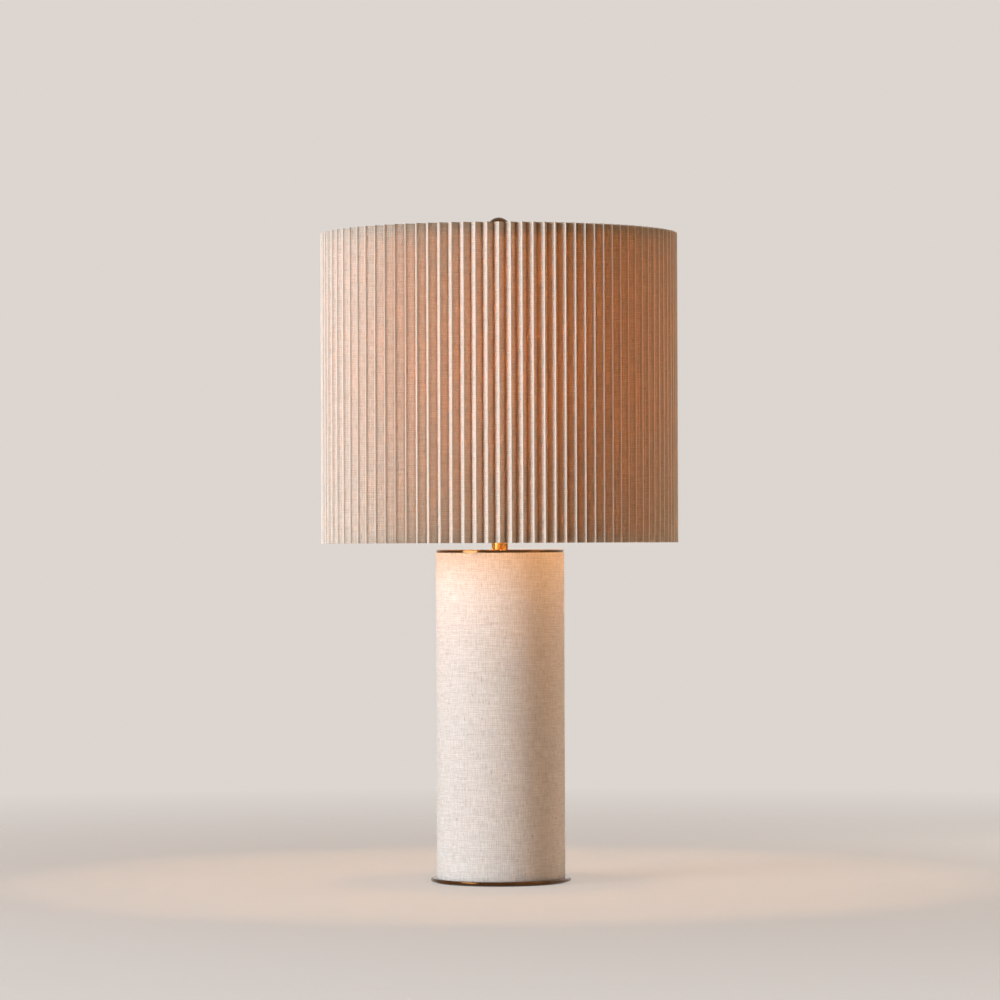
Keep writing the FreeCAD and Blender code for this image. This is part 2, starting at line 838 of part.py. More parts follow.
def build_shade():
    def tape(name, bottom):
        return tube(name, tape_outside, tape_inside, d.tape_height, (0, 0, bottom))

    hub_radius = d.hub_diameter / 2
    top_ring = ring("shade_top_ring", wire_radius, d.ring_wire, (0, 0, hub_middle))
    bottom_ring = ring("shade_bottom_ring", wire_radius, d.ring_wire, (0, 0, shade_bottom + d.ring_height))
    hub_space = rod("spider_hub_space", hub_radius, d.shade_height, (0, 0, shade_bottom))
    arms = []
    for i, angle in enumerate(evenly(d.arm_count, 90)):
        arm = rod(f"spider_arm_{i}_blank", d.arm_wire / 2, wire_radius)
        outward = FreeCAD.Rotation(FreeCAD.Vector(0, 0, 1), FreeCAD.Vector(*around(1, angle), 0))
        arm.Placement = FreeCAD.Placement(FreeCAD.Vector(), outward)
        place(arm, (0, 0, hub_middle))
        arms.append(cut(f"spider_arm_{i}", cut(f"spider_arm_{i}_outer", arm, hub_space), top_ring))
    return [
        build_cloth(),
        tape("shade_top_tape", shade_top - d.tape_setback - d.tape_height),
        tape("shade_bottom_tape", shade_bottom + d.tape_setback),
        top_ring,
        bottom_ring,
        grouped("spider_arms", arms),
        tube("spider_hub", hub_radius, d.hub_bore / 2, d.hub_thickness, (0, 0, hub_bottom)),
    ]


def build_finial():
    dome = d.finial_diameter / 2
    foot = d.finial_base_diameter / 2
    thread = d.stud_diameter / 2 + d.finial_clearance
    insert = thread + d.insert_wall
    bore_depth = d.stud_length + d.finial_headroom
    rim_bottom = hub_top + d.finial_base_height
    rim_top = rim_bottom + d.finial_rim
    return [
        turned("finial_knob", [
            (insert, hub_top),
            (foot, hub_top),
            (foot, rim_bottom),
            (dome, rim_bottom),
            (dome, rim_top),
            (0, rim_top + dome),
            (0, hub_top + bore_depth),
            (insert, hub_top + bore_depth),
        ], {4: dome}),
        tube("finial_insert", insert, thread, bore_depth, (0, 0, hub_top)),
    ]


def write_steps(pieces):
    """Recomputes the document, checks every object and writes one file per piece."""
    doc.recompute()
    for thing in doc.Objects:
        if "Invalid" in thing.State or "Error" in thing.State:
            raise RuntimeError(f"{thing.Label} did not compute: {thing.State}")
    for piece in pieces:
        if piece.Shape.isNull() or not piece.Shape.isValid() or not piece.Shape.Solids:
            raise RuntimeError(f"{piece.Label} is not a valid solid")
    os.makedirs("parts", exist_ok=True)
    for piece in pieces:
        piece.Shape.exportStep(f"parts/{piece.Label}.step")


write_steps([
    *build_foot(),
    *build_pipe(),
    *build_column(),
    *build_saddle(),
    *build_harp(),
    *build_stud(),
    *build_socket(),
    *build_switch(),
    *build_bulb(),
    *build_shade(),
    *build_finial(),
])
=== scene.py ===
import json
import math
import random

import bpy
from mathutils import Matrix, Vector, noise


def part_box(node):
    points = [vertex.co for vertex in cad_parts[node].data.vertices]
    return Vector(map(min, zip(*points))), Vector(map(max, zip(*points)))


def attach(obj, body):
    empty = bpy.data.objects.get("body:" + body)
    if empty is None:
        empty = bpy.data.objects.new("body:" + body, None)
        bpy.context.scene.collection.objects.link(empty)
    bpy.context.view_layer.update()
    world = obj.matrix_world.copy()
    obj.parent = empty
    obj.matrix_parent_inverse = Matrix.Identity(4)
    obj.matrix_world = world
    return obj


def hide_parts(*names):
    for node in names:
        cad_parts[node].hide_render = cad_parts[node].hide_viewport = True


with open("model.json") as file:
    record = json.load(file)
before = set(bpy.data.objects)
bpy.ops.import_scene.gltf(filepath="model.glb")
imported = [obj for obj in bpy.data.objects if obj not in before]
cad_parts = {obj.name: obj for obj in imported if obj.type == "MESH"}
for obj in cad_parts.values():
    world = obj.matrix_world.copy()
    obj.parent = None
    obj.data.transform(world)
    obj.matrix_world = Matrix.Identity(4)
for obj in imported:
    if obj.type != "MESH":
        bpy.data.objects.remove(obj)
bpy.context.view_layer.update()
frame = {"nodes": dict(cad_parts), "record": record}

# The pieces' sizes are in millimetres. Materials, floor, lamps and camera are in metres.
MM = 0.001
nodes = frame["nodes"]
slots = {part["node"]: part["material_slot"] for part in frame["record"]["subparts"]}


def heights(node):
    """The bottom and the top of a CAD node, in millimetres to the thousandth."""
    return [round(corner.z / MM, 3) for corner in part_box(node)]


def reach(node):
    """How far a round CAD node reaches from the lamp's axis, in millimetres to the thousandth."""
    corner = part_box(node)[1]
    return round(max(corner.x, corner.y) / MM, 3)


# Node trees

def rgb(red, green, blue):
    return (red, green, blue, 1.0)


def darker(colour, share):
    return [share * value for value in colour]


class Surface:
    """A material whose node tree is built one node at a time."""

    def __init__(self, name):
        self.material = bpy.data.materials.new(name)
        self.material.use_nodes = True
        self.tree = self.material.node_tree
        self.tree.nodes.clear()
        self.output = self.tree.nodes.new("ShaderNodeOutputMaterial")

    def add(self, kind, inputs, **settings):
        """A node with its settings, and its inputs by name or number."""
        made = self.tree.nodes.new("ShaderNode" + kind)
        for name, value in settings.items():
            setattr(made, name, value)
        for key, value in inputs.items():
            self.feed(made.inputs[key], value)
        return made

    def feed(self, socket, value):
        if isinstance(value, bpy.types.NodeSocket):
            self.tree.links.new(value, socket)
        else:
            socket.default_value = value

    def place(self, stretch=(1, 1, 1), cloth=False):
        """Where a point is: in the part's frame, or along and up the cloth."""
        if cloth:
            spot = self.add("UVMap", {}, uv_map="cloth").outputs["UV"]
        else:
            spot = self.add("TexCoord", {}).outputs["Object"]
        return self.add("Mapping", {"Vector": spot, "Scale": stretch}).outputs["Vector"]

    def pressed(self):
        """A fold's mark: 1 on a pressed ridge, 0 on a face and -1 in a creased valley. It places the painted
        highlight and painted shade.
        """
        return self.add("Attribute", {}, attribute_name="pressed").outputs["Fac"]

    def noise(self, place, scale, detail=3.0, rough=0.55):
        inputs = {"Vector": place, "Scale": scale, "Detail": detail, "Roughness": rough}
        return self.add("TexNoise", inputs).outputs["Fac"]

    def wave(self, place, scale, along, distortion):
        inputs = {"Vector": place, "Scale": scale, "Distortion": distortion}
        return self.add("TexWave", inputs, bands_direction=along).outputs["Fac"]

    def combine(self, operation, a, b):
        return self.add("Math", {0: a, 1: b}, operation=operation).outputs[0]

    def fit(self, value, low, high, to_low=0.0, to_high=1.0):
        inputs = {"Value": value, "From Min": low, "From Max": high, "To Min": to_low, "To Max": to_high}
        return self.add("MapRange", inputs).outputs["Result"]

    def mix(self, share, a, b):
        """Colour a with a share of colour b. The node's colour sockets have no names of their own."""
        return self.add("Mix", {"Factor": share, 6: a, 7: b}, data_type="RGBA").outputs[2]

    def bump(self, height, strength, distance):
        inputs = {"Height": height, "Strength": strength, "Distance": distance}
        return self.add("Bump", inputs).outputs["Normal"]

    def principled(self, **inputs):
        named = {key.replace("_", " "): value for key, value in inputs.items()}
        return self.add("BsdfPrincipled", named).outputs["BSDF"]

    def blend(self, share, a, b):
        """Shader a with a share of shader b."""
        return self.add("MixShader", {"Fac": share, 1: a, 2: b}).outputs["Shader"]

    def done(self, shader):
        self.tree.links.new(shader, self.output.inputs["Surface"])
        return self.material


# Linen

# The linen's threads: their direction, how many there are to the metre, how often their tone changes in
# a metre along them, and their share of the cloth's tone.
THREADS = [("weft", 1000, 90, 0.38), ("weft", 420, 30, 0.20), ("warp", 900, 90, 0.42)]
# The noise at which a thread is darkest and palest.
THREAD_TONES = (0.37, 0.63)
# The pitch of the weave's relief, how much it wanders, and the radians to the unit of a wave texture.
WEAVE_PITCH = 0.001776533
WEAVE_WANDER = 0.8
WAVE_RADIANS = 20
# Blotches, painted shade in the gaps between the threads, and flecks: the values at which they start and are
# full, and their share of the colour where they are full.
BLOTCH_RANGE, BLOTCH_SHARE = (0.3, 0.7), 0.2
GAP_SHADE_RANGE, GAP_SHADE_SHARE = (0.9, 0.2), 0.25
FLECK_RANGE, FLECK_SHARE = (0.66, 0.74), 0.5
# How many blotches and flecks there are to the metre, along and up the cloth.
BLOTCHES = (9, 9, 1)
FLECKS = (520, 130, 1)
# The tone of the painted shade in the gaps and of the flecks, against the cloth's tan.
DARK_SHARE = 0.6


def thread_tone(surface):
    """The tone of the threads that cross at a point, from 0 for dark ones to 1 for pale ones."""
    tone = 0.0
    for direction, count, changes, share in THREADS:
        stretch = (changes, count, 1) if direction == "weft" else (count, changes, 1)
        run = surface.noise(surface.place(stretch, cloth=True), scale=1.0, detail=2.0, rough=0.6)
        part = surface.combine("MULTIPLY", surface.fit(run, *THREAD_TONES), share)
        tone = surface.combine("ADD", tone, part)
    return tone


def weave_relief(surface):
    """The height of the weave: rows of threads both ways."""
    flat = surface.place(cloth=True)
    scale = math.tau / (WAVE_RADIANS * WEAVE_PITCH)
    ways = [surface.wave(flat, scale, along, WEAVE_WANDER) for along in ("X", "Y")]
    return surface.combine("MAXIMUM", *ways)


def weave(surface, tone, pale, tan):
    """Linen's colour and normal: uneven threads both ways, blotches, dark flecks and painted shade between
    the threads.
    """
    relief = weave_relief(surface)
    blotch = surface.noise(surface.place(BLOTCHES, cloth=True), scale=1.0, detail=4.0)
    fleck = surface.noise(surface.place(FLECKS, cloth=True), scale=1.0, detail=1.0)
    dark = rgb(*darker(tan, DARK_SHARE))
    colour = surface.mix(tone, rgb(*tan), rgb(*pale))
    colour = surface.mix(surface.fit(blotch, *BLOTCH_RANGE, to_high=BLOTCH_SHARE), colour, rgb(*tan))
    # Painted shade: where the weave's relief is low, in the gaps between the threads, the colour is painted
    # darker.
    colour = surface.mix(surface.fit(relief, *GAP_SHADE_RANGE, to_high=GAP_SHADE_SHARE), colour, dark)
    colour = surface.mix(surface.fit(fleck, *FLECK_RANGE, to_high=FLECK_SHARE), colour, dark)
    normal = surface.bump(surface.combine("ADD", relief, tone), strength=0.6, distance=0.00035)
    return colour, normal


def cloth_shader(surface, colour, normal):
    return surface.principled(Base_Color=colour, Roughness=0.88, Normal=normal, Specular_IOR_Level=0.2,
                              Sheen_Weight=0.1, Sheen_Roughness=0.4)


def linen(name, pale, tan):
    """Woven linen that no light comes through."""
    surface = Surface(name)
    colour, normal = weave(surface, thread_tone(surface), pale, tan)
    return surface.done(cloth_shader(surface, colour, normal))


# The painted highlight along a pressed ridge and the painted shade in a creased valley: their colours, and
# each colour's share there.
RIDGE_HIGHLIGHT_COLOUR, RIDGE_HIGHLIGHT_SHARE = (0.99, 0.89, 0.795), 0.9
CREASE_SHADE_COLOUR, CREASE_SHADE_SHARE = (0.36, 0.225, 0.125), 0.45
# The light through a ridge, a crease and a dark thread, against the light through a face and a pale thread.
RIDGE_LIGHT, CREASE_LIGHT, THREAD_LIGHT = 0.3, 0.8, 0.8


def lit_linen(name, pale, tan, through, share):
    """Linen that lets a share of light through, less at ridges and creases; ridges get painted highlight,
    creases painted shade.
    """
    surface = Surface(name)
    tone = thread_tone(surface)
    colour, normal = weave(surface, tone, pale, tan)
    fold = surface.pressed()
    # Painted highlight: the pressed ridges are painted paler than the faces, as if light caught them.
    ridge = surface.fit(fold, 0.0, 1.0, to_high=RIDGE_HIGHLIGHT_SHARE)
    # Painted shade: the creased bottoms of the valleys are painted darker, where shade falls in the folds.
    painted_crease_shade = surface.fit(fold, 0.0, -1.0, to_high=CREASE_SHADE_SHARE)
    colour = surface.mix(ridge, colour, rgb(*RIDGE_HIGHLIGHT_COLOUR))
    colour = surface.mix(painted_crease_shade, colour, rgb(*CREASE_SHADE_COLOUR))
    thin = surface.mix(tone, rgb(*darker(through, THREAD_LIGHT)), rgb(*through))
    glow = surface.add("BsdfTranslucent", {"Color": thin, "Normal": normal}).outputs["BSDF"]
    ridge_light = surface.fit(fold, 0.0, 1.0, share, RIDGE_LIGHT * share)
    crease_light = surface.fit(fold, -1.0, 0.0, CREASE_LIGHT, 1.0)
    let_through = surface.combine("MULTIPLY", ridge_light, crease_light)
    return surface.done(surface.blend(let_through, cloth_shader(surface, colour, normal), glow))


# The share of light that goes through the film, where it is single and where a ridge makes it double.
FILM_LIGHT, DOUBLE_LIGHT = 0.3, 0.06
# The fold's mark from which the film is double.
DOUBLE_MARK = 0.7
FILM_GRAIN = (120, 120, 1)


def backing(name):
    """The thin pale film behind the pleated linen, which lets less light through behind a pressed ridge."""
    surface = Surface(name)
    grain = surface.noise(surface.place(FILM_GRAIN, cloth=True), scale=1.0)
    colour = surface.mix(grain, rgb(0.68, 0.65, 0.60), rgb(0.76, 0.73, 0.68))
    film = surface.principled(Base_Color=colour, Roughness=0.55, Specular_IOR_Level=0.4)
    glow = surface.add("BsdfTranslucent", {"Color": rgb(0.95, 0.80, 0.60)}).outputs["BSDF"]
    let_through = surface.fit(surface.pressed(), 0.0, DOUBLE_MARK, FILM_LIGHT, DOUBLE_LIGHT)
    return surface.done(surface.blend(let_through, film, glow))


# Metal, moulded pieces, the bulb and the felt

# The share of patches and of grain in a metal's tone.
PATCH_SHARE, GRAIN_SHARE = 0.7, 0.3
# The noise at which a mottled surface has its dark and its light tone, and its least and its most roughness.
TONE_RANGE = (0.35, 0.65)
SHINE_RANGE = (0.3, 0.7)


def metal(name, dark, light, rough, brushed=(60, 60, 60), spread=0.08, scratches=0.0, lacquer=0.0):
    """Metal with patches of two tones, a grain, roughness that follows both, and a clear lacquer if asked."""
    surface = Surface(name)
    patches = surface.noise(surface.place(), scale=38.0, detail=5.0, rough=0.6)
    grain = surface.noise(surface.place(brushed), scale=10.0, detail=4.0, rough=0.6)
    tone = surface.combine("ADD", surface.combine("MULTIPLY", patches, PATCH_SHARE),
                           surface.combine("MULTIPLY", grain, GRAIN_SHARE))
    colour = surface.mix(surface.fit(tone, *TONE_RANGE), rgb(*dark), rgb(*light))
    shine = surface.fit(tone, *SHINE_RANGE, rough - spread / 2, rough + spread / 2)
    normal = surface.bump(grain, strength=scratches, distance=0.0002)
    return surface.done(surface.principled(Base_Color=colour, Metallic=1.0, Roughness=shine, Normal=normal,
                                           Coat_Weight=lacquer, Coat_Roughness=0.06))


# How much finer a plain surface's relief is than its mottling, and how far its roughness goes up and down.
FINER = 12
PLAIN_SPREAD = 0.06


def plain(name, dark, light, rough, scale=90.0, relief=0.05, gloss=0.5):
    """A moulded, pressed or cast surface: mottled colour and a fine relief."""
    surface = Surface(name)
    grain = surface.noise(surface.place(), scale, detail=5.0, rough=0.6)
    fine = surface.noise(surface.place(), scale * FINER)
    colour = surface.mix(surface.fit(grain, *TONE_RANGE), rgb(*dark), rgb(*light))
    shine = surface.fit(fine, *SHINE_RANGE, rough - PLAIN_SPREAD, rough + PLAIN_SPREAD)
    normal = surface.bump(fine, strength=relief, distance=0.0004)
    return surface.done(surface.principled(Base_Color=colour, Roughness=shine, Normal=normal,
                                           Specular_IOR_Level=gloss))


BULB_GLOW = 375.0
# The heights between which the bulb's light turns from its collar's warmer tone to the globe's.
WARM_HEIGHT, FULL_HEIGHT = 0.474, 0.500


def opal(name):
    """The lit bulb: opal glass, warm, a little dimmer towards its collar."""
    surface = Surface(name)
    height = surface.add("SeparateXYZ", {0: surface.place()}).outputs["Z"]
    cloud = surface.noise(surface.place(), scale=60.0)
    colour = surface.mix(cloud, rgb(1.0, 0.90, 0.76), rgb(1.0, 0.94, 0.84))
    glass = surface.principled(Base_Color=colour, Roughness=0.25, Specular_IOR_Level=0.5)
    upper = surface.fit(height, WARM_HEIGHT, FULL_HEIGHT)
    warm = surface.mix(upper, rgb(1.0, 0.50, 0.18), rgb(1.0, 0.56, 0.23))
    lit = surface.add("Emission", {"Color": warm, "Strength": BULB_GLOW}).outputs["Emission"]
    return surface.done(surface.add("AddShader", {0: glass, 1: lit}).outputs["Shader"])


def felt(name):
    """Pressed felt of dark fibres."""
    surface = Surface(name)
    fibres = surface.noise(surface.place(), scale=900.0, detail=6.0, rough=0.7)
    colour = surface.mix(fibres, rgb(0.035, 0.031, 0.03), rgb(0.11, 0.10, 0.10))
    normal = surface.bump(fibres, strength=0.8, distance=0.0006)
    return surface.done(surface.principled(Base_Color=colour, Roughness=0.97, Normal=normal,
                                           Specular_IOR_Level=0.1, Sheen_Weight=0.3, Sheen_Roughness=0.5))


# The finishes of the CAD nodes that stay, by material slot

finishes = {
    "antique_bronze": metal("antique bronze", dark=(0.07, 0.025, 0.004), light=(0.14, 0.058, 0.012),
                            rough=0.13, brushed=(9, 9, 400), scratches=0.04, lacquer=0.22),
    "steel": metal("zinc plated steel", dark=(0.50, 0.50, 0.48), light=(0.66, 0.66, 0.63), rough=0.34),
    "iron": plain("cast iron", dark=(0.05, 0.05, 0.05), light=(0.12, 0.115, 0.11), rough=0.72,
                  scale=160.0, relief=0.5),
    "core_board": plain("core board", dark=(0.40, 0.29, 0.19), light=(0.54, 0.42, 0.30), rough=0.88,
                        scale=220.0, relief=0.3, gloss=0.2),
    "grommet_rubber": plain("grommet rubber", dark=(0.02, 0.018, 0.017), light=(0.045, 0.04, 0.037),
                            rough=0.62, scale=140.0, relief=0.1, gloss=0.3),
    "polished_brass": metal("polished brass", dark=(0.42, 0.21, 0.05), light=(0.55, 0.31, 0.09), rough=0.3,
                            brushed=(4, 4, 300), spread=0.06, scratches=0.02),
    "harp_brass": metal("harp brass", dark=(0.60, 0.42, 0.18), light=(0.76, 0.56, 0.28), rough=0.27),
    "socket_brass": metal("socket brass", dark=(0.66, 0.47, 0.21), light=(0.80, 0.61, 0.32), rough=0.24),
    "fibre_paper": plain("fibre paper", dark=(0.20, 0.14, 0.09), light=(0.31, 0.24, 0.17), rough=0.9,
                         scale=260.0, relief=0.3, gloss=0.2),
    "phenolic": plain("phenolic", dark=(0.03, 0.025, 0.022), light=(0.07, 0.055, 0.045), rough=0.42),
    "bright_aluminium": metal("bright aluminium", dark=(0.72, 0.72, 0.71), light=(0.84, 0.84, 0.83),
                              rough=0.22),
    "knob_plastic": plain("knob plastic", dark=(0.045, 0.03, 0.024), light=(0.08, 0.058, 0.045), rough=0.34),
    "opal_glass": opal("opal glass"),
    "white_plastic": plain("white plastic", dark=(0.82, 0.82, 0.80), light=(0.90, 0.90, 0.88), rough=0.4),
    "black_insulator": plain("black insulator", dark=(0.02, 0.02, 0.024), light=(0.05, 0.05, 0.055),
                             rough=0.18),
    "frame_wire": metal("frame wire", dark=(0.55, 0.39, 0.18), light=(0.71, 0.53, 0.28), rough=0.32),
}
for name, node in nodes.items():
    if slots[name] in finishes:
        node.data.materials.clear()
        node.data.materials.append(finishes[slots[name]])


# Meshes

def around(angle, radius, height):
    """A point at an angle from the front towards the right, its radius and height in millimetres."""
    return Vector((radius * math.sin(angle), -radius * math.cos(angle), height)) * MM


def mesh_object(name, points, faces, materials, kinds=None, travel=None, sharp=40):
    """An object from points and faces: kinds gives each face's material, travel its corners' cloth places."""
    mesh = bpy.data.meshes.new(name)
    mesh.from_pydata(points, [], faces)
    for material in materials:
        mesh.materials.append(material)
    if kinds:
        mesh.polygons.foreach_set("material_index", kinds)
    if travel:
        layer = mesh.uv_layers.new(name="cloth")
        layer.data.foreach_set("uv", [value for place in travel for value in place])
    mesh.polygons.foreach_set("use_smooth", [True] * len(faces))
    mesh.set_sharp_from_angle(angle=math.radians(sharp))
    made = bpy.data.objects.new(name, mesh)
    bpy.context.scene.collection.objects.link(made)
    return made


def shell(name, outer, inner, materials, sharp=40, pressed=None):
    """A thin closed wall between two stacks of loops, each from the bottom up.

    pressed gives the fold's mark of each point of a loop, the same in all the loops of both stacks.
    The length of the lowest outer loop comes back with the wall.
    """
    count, rows = len(outer[0]), len(outer)
    points = [point for loop in outer + inner for point in loop]
    path = [0.0]
    for k in range(count):
        path.append(path[-1] + (outer[0][(k + 1) % count] - outer[0][k]).length)
    faces, kinds, travel = [], [], []

    def quad(corners, kind):
        faces.append([row * count + k % count for row, k in corners])
        kinds.append(kind)
        travel.extend((path[k], points[row * count].z) for row, k in corners)

    last = len(materials) - 1
    for row in range(rows - 1):
        back = row + rows
        for k in range(count):
            quad([(row, k), (row, k + 1), (row + 1, k + 1), (row + 1, k)], 0)
            quad([(back, k + 1), (back, k), (back + 1, k), (back + 1, k + 1)], last)
    for k in range(count):
        quad([(rows, k), (rows, k + 1), (0, k + 1), (0, k)], 0)
        quad([(rows - 1, k), (rows - 1, k + 1), (2 * rows - 1, k + 1), (2 * rows - 1, k)], 0)
    made = mesh_object(name, points, faces, materials, kinds, travel, sharp)
    if pressed:
        marks = made.data.attributes.new("pressed", "FLOAT", "POINT")
        marks.data.foreach_set("value", pressed * rows * 2)
    return made, path[-1]


def turned(name, profile, material, steps, wobble=None, capped=False):
    """A ring turned from a closed run of (radius, height) points, or a disc capped at both ends."""
    points, faces, travel = [], [], []
    count = len(profile)
    runs = count - 1 if capped else count
    girth = math.tau * max(radius for radius, height in profile) * MM
    for k in range(steps):
        angle = math.tau * k / steps
        for radius, height in profile:
            spread = radius + (wobble(angle, height) if wobble else 0.0)
            points.append(around(angle, spread, height))
    for k in range(steps):
        here, ahead = k * count, (k + 1) % steps * count
        for i in range(runs):
            j = (i + 1) % count
            faces.append([here + i, ahead + i, ahead + j, here + j])
            for turn, spot in ((k, i), (k + 1, i), (k + 1, j), (k, j)):
                travel.append((girth * turn / steps, profile[spot][1] * MM))
    if capped:
        faces.append([k * count for k in reversed(range(steps))])
        faces.append([k * count + count - 1 for k in range(steps)])
        travel += [(0.0, 0.0)] * 2 * steps
    return mesh_object(name, points, faces, [material], travel=travel)


# The pleated shade

PLEATS = 98
PLEAT_DEPTH = 9.0
RIDGE = reach("shade_cloth")
VALLEY = RIDGE - PLEAT_DEPTH
BOTTOM, TOP = heights("shade_cloth")
CLOTH_THICK = 0.45
ROWS = 14
# Faces that meet at more degrees than this show an edge.
SHADE_SHARP = 50
# Half a pleat, from the pressed edge of a ridge to the bottom of a valley: how deep and how far to the side.
PRESSED = [(0.0, 0.0), (0.08, 0.24), (0.25, 0.40), (0.6, 0.47), (1.4, 0.56), (2.2, 0.68)]
OPEN = [(3.0, 1.22), (4.5, 2.4), (6.4, 3.9), (7.9, 4.88), (8.55, 5.18), (8.88, 5.36), (PLEAT_DEPTH, 5.55)]
# The same run on the inside, where a pressed ridge is solid: the cloth's two faces are one down to here.
JOINED = [(2.5, 0.0), (2.52, 0.1), (2.58, 0.2), (2.68, 0.31), (2.82, 0.44), (3.02, 0.62)]
# Each point's mark on half a pleat, 1 at a ridge and -1 in a valley, and how far the inside lies behind it.
CREASE = [1.0, 1.0, 1.0, 0.8, 0.35, 0.0, 0.0, 0.0, -0.1, -0.6, -1.0, -1.0, -1.0]
BEHIND = [0.0] * len(JOINED) + [CLOTH_THICK] * len(OPEN)
# How the pleats' places drift round the shade, in radians: waves to a turn, their sine and cosine parts.
DRIFT = [(1, 0.0362, 0.0868), (2, -0.0222, 0.0225)]
# How far a fold is off to the side and in its depth, and how far it sways and swells on its way up.
LEAN, DEEPER = 0.12, 0.1
SWAY, SWELL = 0.08, 0.12
# The heights over which a fold sways and swells.
SWAY_HEIGHT, SWELL_HEIGHT = 120, 140
# Where the noise for them is read: the step from fold to fold, and a layer each for sway and swell.
FOLD_STEP, SWAY_LAYER, SWELL_LAYER = 3.7, 2.0, 9.0

dice = random.Random(5)
lean = [dice.uniform(-1, 1) for corner in range(2 * PLEATS)]
depth = [dice.uniform(-1, 1) for corner in range(2 * PLEATS)]


def pleat_angle(corner):
    """The pleats are packed a little closer on the right than on the left, as the photo shows."""
    turn = math.pi * corner / PLEATS
    return turn + sum(sine * math.sin(times * turn) + cosine * (math.cos(times * turn) - 1)
                      for times, sine, cosine in DRIFT)


def fold_line(corner, height):
    """A fold's angle and radius at a height: uneven from fold to fold, and slightly bent on its way up."""
    spot = corner % (2 * PLEATS)
    radius = VALLEY if spot % 2 else RIDGE
    sway = noise.noise(Vector((spot * FOLD_STEP, height / SWAY_HEIGHT, SWAY_LAYER)))
    swell = noise.noise(Vector((spot * FOLD_STEP, height / SWELL_HEIGHT, SWELL_LAYER)))
    side = LEAN * lean[spot] + SWAY * sway
    return pleat_angle(corner) + side / radius, radius + DEEPER * depth[spot] + SWELL * swell


def half_pleat(ridge, valley, crest):
    """The line from a ridge to a valley beside it, each an angle and a radius."""
    width = abs(valley[0] - ridge[0]) * (RIDGE + VALLEY) / 2
    drop = (ridge[1] - valley[1]) / PLEAT_DEPTH
    held = PRESSED[-1][1]
    spread = (width - held) / (OPEN[-1][1] - held)
    run = crest + [(down, held + (side - held) * spread) for down, side in OPEN]
    turn = (valley[0] - ridge[0]) / width
    return [(ridge[0] + side * turn, ridge[1] - down * drop) for down, side in run]


def whole_pleats(half):
    """What is given for half a pleat, from ridge to valley, repeated for every pleat in the loops' order."""
    return (half[-2:0:-1] + half) * PLEATS


def pleat_line(height, crest):
    """One line round the shade at a height."""
    line = []
    for k in range(0, 2 * PLEATS, 2):
        before, ridge, after = (fold_line(k + side, height) for side in (-1, 0, 1))
        line += half_pleat(ridge, before, crest)[-2:0:-1] + half_pleat(ridge, after, crest)
    return [around(angle, radius, height) for angle, radius in line]


def pleat_loops(height):
    """The cloth's outer and inner lines at one height."""
    outer = pleat_line(height, PRESSED)
    inner = pleat_line(height, JOINED)
    for k, thickness in enumerate(whole_pleats(BEHIND)):
        along = (outer[(k + 1) % len(outer)] - outer[k - 1]).normalized()
        inner[k] += Vector((-along.y, along.x, 0)) * thickness * MM
    return outer, inner


stack = [pleat_loops(BOTTOM + (TOP - BOTTOM) * row / ROWS) for row in range(ROWS + 1)]
shade_finish = lit_linen("shade linen", pale=(0.955, 0.875, 0.795), tan=(0.66, 0.545, 0.432),
                         through=(0.97, 0.48, 0.14), share=0.076)
shade, cloth_length = shell("pleated_shade", [outer for outer, inner in stack],
                            [inner for outer, inner in stack], [shade_finish, backing("shade backing")],
                            sharp=SHADE_SHARP, pressed=whole_pleats(CREASE))
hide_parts("shade_cloth")
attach(shade, "shade")


# The tapes inside the shade's edges

TAPE_OUT, TAPE_IN = 167.5, 167.05
TAPE_STEPS = 240
# A tape's edge from the outside round to the inside: the radius, and how far a point is from the edge.
# The selvedge stands out by the bead on the inside and by half of that on the outside.
BEAD = 0.12
SELVEDGE = [(TAPE_OUT - BEAD / 2, 1.5), (TAPE_OUT, 1.2), (TAPE_OUT, 0.2), (TAPE_OUT - 0.2, 0.0),
            (TAPE_IN + 0.1, 0.0), (TAPE_IN - BEAD, 0.3), (TAPE_IN - BEAD, 1.1), (TAPE_IN, 1.5)]
tape_finish = linen("edge tape", pale=(0.84, 0.76, 0.66), tan=(0.66, 0.57, 0.46))


def tape(name, node):
    """A woven tape with a thicker selvedge along each edge."""
    low, high = heights(node)
    profile = [(radius, high - inset) for radius, inset in SELVEDGE]
    profile += [(radius, low + inset) for radius, inset in reversed(SELVEDGE)]
    band = turned(name, profile, tape_finish, TAPE_STEPS)
    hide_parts(node)
    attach(band, "shade")


tape("shade_tape_top", "shade_top_tape")
tape("shade_tape_bottom", "shade_bottom_tape")


# The column's linen

LINEN_OUT = reach("linen_sleeve")
# The wrap's inside keeps this far clear of the board.
BOARD_GAP = 0.02
LINEN_IN = reach("core_tube") + BOARD_GAP
WRAP_LOW, WRAP_HIGH = heights("linen_sleeve")
WRAP_STEPS, WRAP_ROWS = 216, 36
# The wrap's rounded edges: how far from the edge, and how far the outside is tucked in there.
WRAP_EDGE = [(0.0, 0.35), (0.3, 0.08), (0.8, 0.0)]
# The wrap's unevenness, its bumps' spread round the column, and the height over which they change.
UNEVEN, UNEVEN_TURNS, UNEVEN_HEIGHT = 0.10, 2.2, 45
# The seam: where it is, its fold's thickness, the way over which it steps up, its end and how long it fades.
SEAM = math.radians(196)
SEAM_THICK, SEAM_STEP, SEAM_END, SEAM_FADE = 0.55, 0.5, 12.0, 9.0
# Extra lines beside the seam.
SEAM_LINES = (-0.5, -0.25, 0.0, 0.3)


def clamp(value):
    return min(1.0, max(0.0, value))


